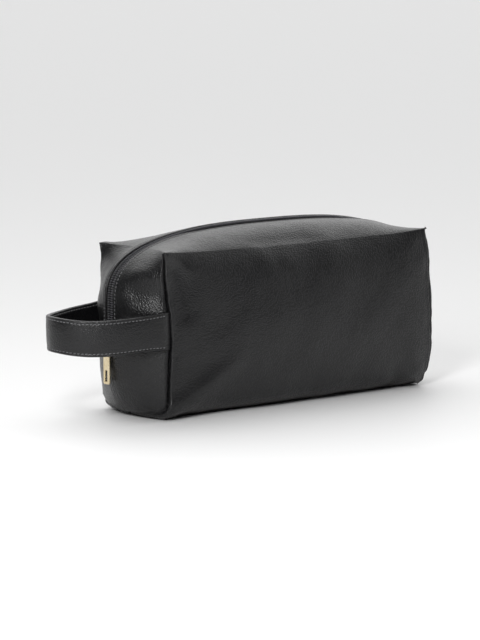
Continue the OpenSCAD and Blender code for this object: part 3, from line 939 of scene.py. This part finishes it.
# ---------------------------------------------------------------------------------------------
# Zip stops, slider and bridge. Die-cast zinc plated pale gold: the slider's two wings join at a
# post between the coils, and its arched bridge holds the pull.

ZIP_X = HALF_L + LOOP_END_BULGE
SLIDER_Z = 50.3
SLIDER_L = 12
SLIDER_W = 7.6
WING_LIFT = 1.0
WING_T = 1.2
PULL_T = 1.8
BAR_X = -ZIP_X - WING_LIFT - 0.3 - PULL_T / 2
BAR_Z = SLIDER_Z + 5.8


def plated_zinc(name, face, deep, roughness):
    """Polished die-cast zinc with a pale gold plate: bright soft reflections, faint buffing marks
    and patches of slightly darker plate."""
    material, tree, shader = new_material(name, {"Metallic": 1.0})
    where = add_node(tree, "ShaderNodeTexCoord").outputs["Object"]
    drawn = add_node(tree, "ShaderNodeMapping", {"Vector": where, "Scale": (900.0, 900.0, 90.0)})
    marks = add_node(tree, "ShaderNodeTexNoise", {"Vector": drawn.outputs[0], "Scale": 1.0, "Detail": 4.0})
    clouds = add_node(tree, "ShaderNodeTexNoise", {"Vector": where, "Scale": 160.0, "Detail": 2.0})
    colour = add_node(
        tree, "ShaderNodeMix", {0: clouds.outputs[0], 6: srgb(deep), 7: srgb(face)}, data_type="RGBA",
    )
    rough = add_node(tree, "ShaderNodeMapRange",
                     {"Value": marks.outputs[0], "To Min": roughness - 0.08, "To Max": roughness + 0.12})
    bump = add_node(
        tree, "ShaderNodeBump",
        {"Height": marks.outputs[0], "Strength": 0.15, "Distance": 0.05 * MM},
    )
    patterned(tree, shader, colour, rough, bump)
    return material


plate = plated_zinc("zinc_plated_pale_gold", "#efe2c4", "#d9c598", 0.26)
for node in ("zip_bottom_stop", "front_zip_stop", "back_zip_stop"):
    refinish(node, plate)


def cut_plate(name, outlines, thickness, bevel, material, place):
    """A flat plate with rounded edges, from an outline and the outlines of its holes, in its own
    plane; place turns each of its points (across, up, out) to its place on the bag."""
    curve = bpy.data.curves.new(name, "CURVE")
    curve.dimensions = "2D"
    curve.fill_mode = "BOTH"
    curve.extrude = (thickness / 2 - bevel) * MM
    curve.bevel_depth = bevel * MM
    curve.bevel_resolution = 2
    curve.offset = -bevel * MM
    for outline in outlines:
        spline = curve.splines.new("POLY")
        spline.points.add(len(outline) - 1)
        for point, (x, y) in zip(spline.points, outline):
            point.co = (x * MM, y * MM, 0, 1)
        spline.use_cyclic_u = True
    drawn = bpy.data.objects.new(name + "_outline", curve)
    scene.collection.objects.link(drawn)
    mesh = bpy.data.meshes.new_from_object(drawn.evaluated_get(bpy.context.evaluated_depsgraph_get()))
    bpy.data.objects.remove(drawn)
    for vertex in mesh.vertices:
        vertex.co = Vector(place(*(vertex.co / MM))) * MM
    mesh.name = name
    mesh.materials.clear()
    mesh.materials.append(material)
    mesh.polygons.foreach_set("use_smooth", [True] * len(mesh.polygons))
    made = bpy.data.objects.new(name, mesh)
    scene.collection.objects.link(made)
    edges = made.modifiers.new("edges", "EDGE_SPLIT")
    edges.split_angle = math.radians(40)
    return made


def rounded_box(width, height, radii, centre=(0, 0)):
    """A rectangle's outline with its corners rounded: radii at the bottom and at the top."""
    outline = []
    for corner, (side_x, side_y) in enumerate(((1, -1), (1, 1), (-1, 1), (-1, -1))):
        r = radii[0] if side_y < 0 else radii[1]
        for step in range(7):
            angle = math.pi / 2 * (corner - 1 + step / 6)
            x = side_x * (width / 2 - r) + r * math.cos(angle)
            y = side_y * (height / 2 - r) + r * math.sin(angle)
            outline.append((centre[0] + x, centre[1] + y))
    return outline


WING_MID = -ZIP_X - WING_LIFT + WING_T / 2
UNDER_MID = -ZIP_X + 2.8 + 0.5


def slider_plate(name, thickness, x):
    taper = [(px * (1 - 0.16 * max(0, -py) / (SLIDER_L / 2)), py) for px, py in
             rounded_box(SLIDER_W, SLIDER_L, (2.2, 1.6))]
    return cut_plate(name, [taper], thickness, 0.4, plate,
                     lambda a, b, c: (x - c, a, SLIDER_Z + SLIDER_L / 2 + b))


def joined(name, objects):
    """One object from several, modifiers applied."""
    bpy.context.view_layer.update()
    depsgraph = bpy.context.evaluated_depsgraph_get()
    points, faces, at = [], [], 0
    for one in objects:
        mesh = bpy.data.meshes.new_from_object(one.evaluated_get(depsgraph))
        points += [vertex.co / MM for vertex in mesh.vertices]
        faces += [[at + i for i in face.vertices] for face in mesh.polygons]
        at += len(mesh.vertices)
    material = objects[0].data.materials[0]
    for one in objects:
        bpy.data.objects.remove(one)
    mesh = bpy.data.meshes.new(name)
    mesh.from_pydata([p * MM for p in points], [], faces)
    mesh.polygons.foreach_set("use_smooth", [True] * len(mesh.polygons))
    mesh.materials.append(material)
    made = bpy.data.objects.new(name, mesh)
    scene.collection.objects.link(made)
    return made


post = cut_plate("post", [rounded_box(3.6, 3, (0.5, 0.5))], 0.9, 0.2, plate,
                 lambda a, b, c: (-ZIP_X + 1 + a, c, SLIDER_Z + 1.5 + b))
slider = joined("slider_body_cast", [
    slider_plate("outer_wing", WING_T, WING_MID), slider_plate("inner_wing", 1.0, UNDER_MID), post])
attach(slider, "zip_slider")
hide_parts("slider_body")

BRIDGE_W = 2.4
BRIDGE_L = 7.4
BRIDGE_OUT = PULL_T + 0.6 + 1.0


def bridge_outline():
    """The arch seen from the side: an outer round-shouldered line and the same 1 mm in."""
    outer, inner = [], []
    for step in range(25):
        angle = math.pi * step / 24
        low, high = math.cos(angle), math.sin(angle)
        outer.append((BRIDGE_L / 2 * low, BRIDGE_OUT * high ** 0.55))
        inner.append(((BRIDGE_L / 2 - 1) * low, (BRIDGE_OUT - 1) * high ** 0.55))
    return outer + inner[::-1]


bridge = cut_plate(
    "slider_bridge_cast", [bridge_outline()], BRIDGE_W, 0.3, plate,
    lambda a, b, c: (-ZIP_X - WING_LIFT - b, c, BAR_Z - 3.6 + BRIDGE_L / 2 + a),
)
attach(bridge, "zip_slider")
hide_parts("slider_bridge")


# ---------------------------------------------------------------------------------------------
# Pull. A flat stamped plate, plated to match, that hangs from the bridge by the bar above its
# window, with a long slot near its lower end.

PULL_L = 31
PULL_W = 6.8
WINDOW_W = 3.4
WINDOW_L = 5.4
PULL_SLOT_W = 2.8
PULL_SLOT_L = 8
PULL_SLOT_RIM = 2.2

top = PULL_T / 2
pull = cut_plate(
    "pull_tab_stamped",
    [
        rounded_box(PULL_W, PULL_L + top, (1.4, 0.8), (0, (top - PULL_L) / 2)),
        rounded_box(WINDOW_W, WINDOW_L - 0.9, (0.5, 0.5), (0, -(WINDOW_L + 0.9) / 2)),
        rounded_box(PULL_SLOT_W, PULL_SLOT_L, (0.7, 0.7), (0, PULL_SLOT_RIM + PULL_SLOT_L / 2 - PULL_L)),
    ],
    PULL_T, 0.4, plate, lambda a, b, c: (BAR_X + c, -a, BAR_Z + b),
)
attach(pull, "zip_pull")
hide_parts("pull_tab")


# ---------------------------------------------------------------------------------------------
# Carry loop. A flat strap of two leathers glued over a thin filler, its edges folded in and sewn
# along both sides; each end is caught in a corner seam of the loop end.

STRAP_H = 66
STRAP_W = 26
STRAP_T = 3.5
LOOP_REACH = 69.5
LOOP_X = -HALF_L - 2.4
LOOP_HALF = HALF_D - 0.3
ROOT_IN = 4.5       # how far each end runs back into its seam
ROOT_SLOPE = 0.28   # and how much it turns towards the bag's middle as it does
PER_TURN = 100      # beyond its ends the strap's share counts this many millimetres for 1
STRAP_STITCH_IN = 2.3
LOOP_SAG = 2.2      # the curve dips by this much at each side of its middle


def strap_frame(t):
    """The strap's middle line by its share of the way round, the way out from it, and its width and
    thickness there as shares of the usual ones."""
    a = np.pi * np.clip(t, 0, 1)
    back = np.maximum(0, -t) + np.maximum(0, t - 1)  # beyond either end, into the seam
    side = np.where(t < 0.5, -1.0, 1.0)
    x = LOOP_X - LOOP_REACH * np.sin(a) + back * PER_TURN
    y = -LOOP_HALF * np.cos(a) - side * back * PER_TURN * ROOT_SLOPE
    n = np.stack([-np.sin(a) / LOOP_REACH, -np.cos(a) / LOOP_HALF, 0 * a], -1)
    n /= np.linalg.norm(n, axis=-1, keepdims=True)
    reach = np.sin(a)
    z = STRAP_H - LOOP_SAG * np.sin(2 * a) ** 2 + 0.5 * np.sin(3 * a + 0.5) * reach
    from_root = LOOP_X - x
    wide = 1 + 0.07 * np.exp(-((from_root / 9) ** 2))
    thick = mix(0.35, 1, ramp(from_root, -5, 5))
    return np.stack([x, y, z], -1), n, wide, thick


def strap_point(t, across, out):
    """A point on the strap: across from its middle line (up), and out from it, in millimetres."""
    centre, n, wide, thick = strap_frame(t)
    twist = 0.03 * np.sin(np.pi * np.clip(t, 0, 1))  # the lower edge sits a little further in
    up = np.array([0, 0, 1.0]) + n * twist[:, None]
    return centre + up * (across * wide)[:, None] + n * (out * thick)[:, None]


def bends_from_root(piece):
    """Bakes the piece's placement into its mesh. On the bag the loop's roots stay put and the rest bends up
    and down.
    """
    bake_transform(piece)


def strap_outline():
    """The strap's cross-section: folded lips, a dip under each stitch line and a filled middle."""
    half_w, half_t, lip = STRAP_W / 2, STRAP_T / 2, 1.35
    face = []
    for v in graded(-(half_w - lip), 0, 0.25, 1.2, 1.6):
        from_edge = half_w + v
        dip = rise(from_edge, STRAP_STITCH_IN, 0.5, -0.35)
        puff = 0.3 * ramp(from_edge, 3, 9)
        face.append((v, half_t + dip + puff - 0.2))
    face = face + [(-v, h) for v, h in face[:-1][::-1]]
    edge = [(half_w - lip + lip * math.cos(b), (half_t - 0.2) * math.sin(b))
            for b in np.linspace(math.pi / 2, -math.pi / 2, 11)[1:-1]]
    other = [(-v, -h) for v, h in face]
    return np.array(face + edge + other + [(-v, -h) for v, h in edge])


root = ROOT_IN / PER_TURN
turns = np.concatenate([
    np.linspace(-root, 0, 6)[:-1], np.linspace(0, 1, 150), np.linspace(1, 1 + root, 6)[1:],
])
outline = strap_outline()
rings = [strap_point(turns, v + 0 * turns, h + 0 * turns) for v, h in outline]
rings = np.array(rings + [rings[0]])
strap_points, strap_faces = weld([rings])
wrinkle = 0.16 * soft_noise(strap_points, 9) + 0.25 * soft_noise(strap_points, 26)
strap_points = strap_points + np.stack([wrinkle, wrinkle * 0.4, wrinkle * 0.3], -1)
strap = mesh_piece("carry_strap", strap_points, strap_faces, leather)
bends_from_root(strap)
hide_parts("strap_outer", "strap_inner", "strap_core", "strap_root_front", "strap_root_back")

sewn = np.linspace(0.012, 0.988, 400)
for edge, sign in (("upper", 1), ("lower", -1)):
    routes = []
    for face_sign in (1, -1):
        across = sign * (STRAP_W / 2 - STRAP_STITCH_IN) + 0 * sewn
        depth = face_sign * (STRAP_T / 2 - 0.42) + 0 * sewn
        _, n, _, _ = strap_frame(sewn)
        routes.append((strap_point(sewn, across, depth), n * face_sign))
    stitches = repeated(
        f"strap_stitches_{edge}", routes, thread,
        Pitch=STITCH_PITCH * MM, Length=STITCH_L * MM, Width=STITCH_T * MM, Height=STITCH_T * MM,
        Slant=0.12, Unevenness=0.08, Seed=9,
    )
    bends_from_root(stitches)
    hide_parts(f"strap_stitching_{edge}")


# ---------------------------------------------------------------------------------------------
# Studio. A wide white table that darkens with distance, soft light from high up behind the right,
# a soft box off the loop end and a weak one overhead, and a long lens from a little above.

AZIMUTH = math.radians(-38.35)
ELEVATION = math.radians(8.38)
DISTANCE = 2.188    # metres, as are the next three
AIM_H = 0.065
AIM_LEFT = 0.0223
AIM_DOWN = 0.00668
back = Vector((math.sin(AZIMUTH) * math.cos(ELEVATION), -math.cos(AZIMUTH) * math.cos(ELEVATION),
               math.sin(ELEVATION)))
right = Vector((math.cos(AZIMUTH), math.sin(AZIMUTH), 0))
camera = bpy.data.objects.new("camera", bpy.data.cameras.new("camera"))
scene.collection.objects.link(camera)
aim = Vector((0, 0, AIM_H)) - right * AIM_LEFT - back.cross(right) * AIM_DOWN
camera.location = aim + back * DISTANCE
camera.rotation_euler = back.to_track_quat("Z", "Y").to_euler()
camera.data.sensor_fit = "VERTICAL"
camera.data.sensor_height = 36
camera.data.lens = 163.2
camera.data.clip_end = 20
scene.camera = camera

bpy.ops.mesh.primitive_circle_add(vertices=96, radius=14, fill_type="NGON")
table = bpy.context.object
table.name = "studio_table"
table_top = new_material("painted_board_white", {"Base Color": srgb("#f2f2f2"), "Roughness": 0.6})[0]
table.data.materials.append(table_top)


def soft_light(name, azimuth, elevation, distance, size, power):
    data = bpy.data.lights.new(name, "AREA")
    data.shape = "RECTANGLE"
    data.size, data.size_y = size
    data.energy = power
    light = bpy.data.objects.new(name, data)
    scene.collection.objects.link(light)
    azimuth, elevation = math.radians(azimuth), math.radians(elevation)
    way = Vector((math.cos(azimuth) * math.cos(elevation), math.sin(azimuth) * math.cos(elevation),
                  math.sin(elevation)))
    light.location = way * distance + Vector((0, 0, 0.06))
    light.rotation_euler = way.to_track_quat("Z", "Y").to_euler()


soft_light("loop_end_soft", -143, 30, 1.1, (0.22, 0.5), 6.5)
soft_light("overhead_soft", 120, 70, 1.3, (0.9, 0.6), 1.5)
sky = bpy.data.objects.new("ceiling_soft", bpy.data.lights.new("ceiling_soft", "SUN"))
scene.collection.objects.link(sky)
sky.data.energy = 1.1
sky.data.angle = math.radians(80)
sky.rotation_euler = Vector((0.35, 0.45, 0.82)).to_track_quat("Z", "Y").to_euler()

world = bpy.data.worlds.new("studio")
world.use_nodes = True
scene.world = world
tree = world.node_tree
way = add_node(tree, "ShaderNodeTexCoord").outputs["Generated"]
aside = add_node(tree, "ShaderNodeVectorMath", {0: way, 1: (0.72, 0.6, 0.34)}, operation="DOT_PRODUCT")
lobe = add_node(tree, "ShaderNodeMapRange", {
    "Value": aside.outputs["Value"], "From Min": -0.35, "From Max": 0.95, "To Min": 0.0, "To Max": 0.97},
    interpolation_type="SMOOTHSTEP")
tree.links.new(lobe.outputs[0], tree.nodes["Background"].inputs["Color"])
tree.nodes["Background"].inputs["Strength"].default_value = 1.0
scene.view_settings.view_transform = "Standard"
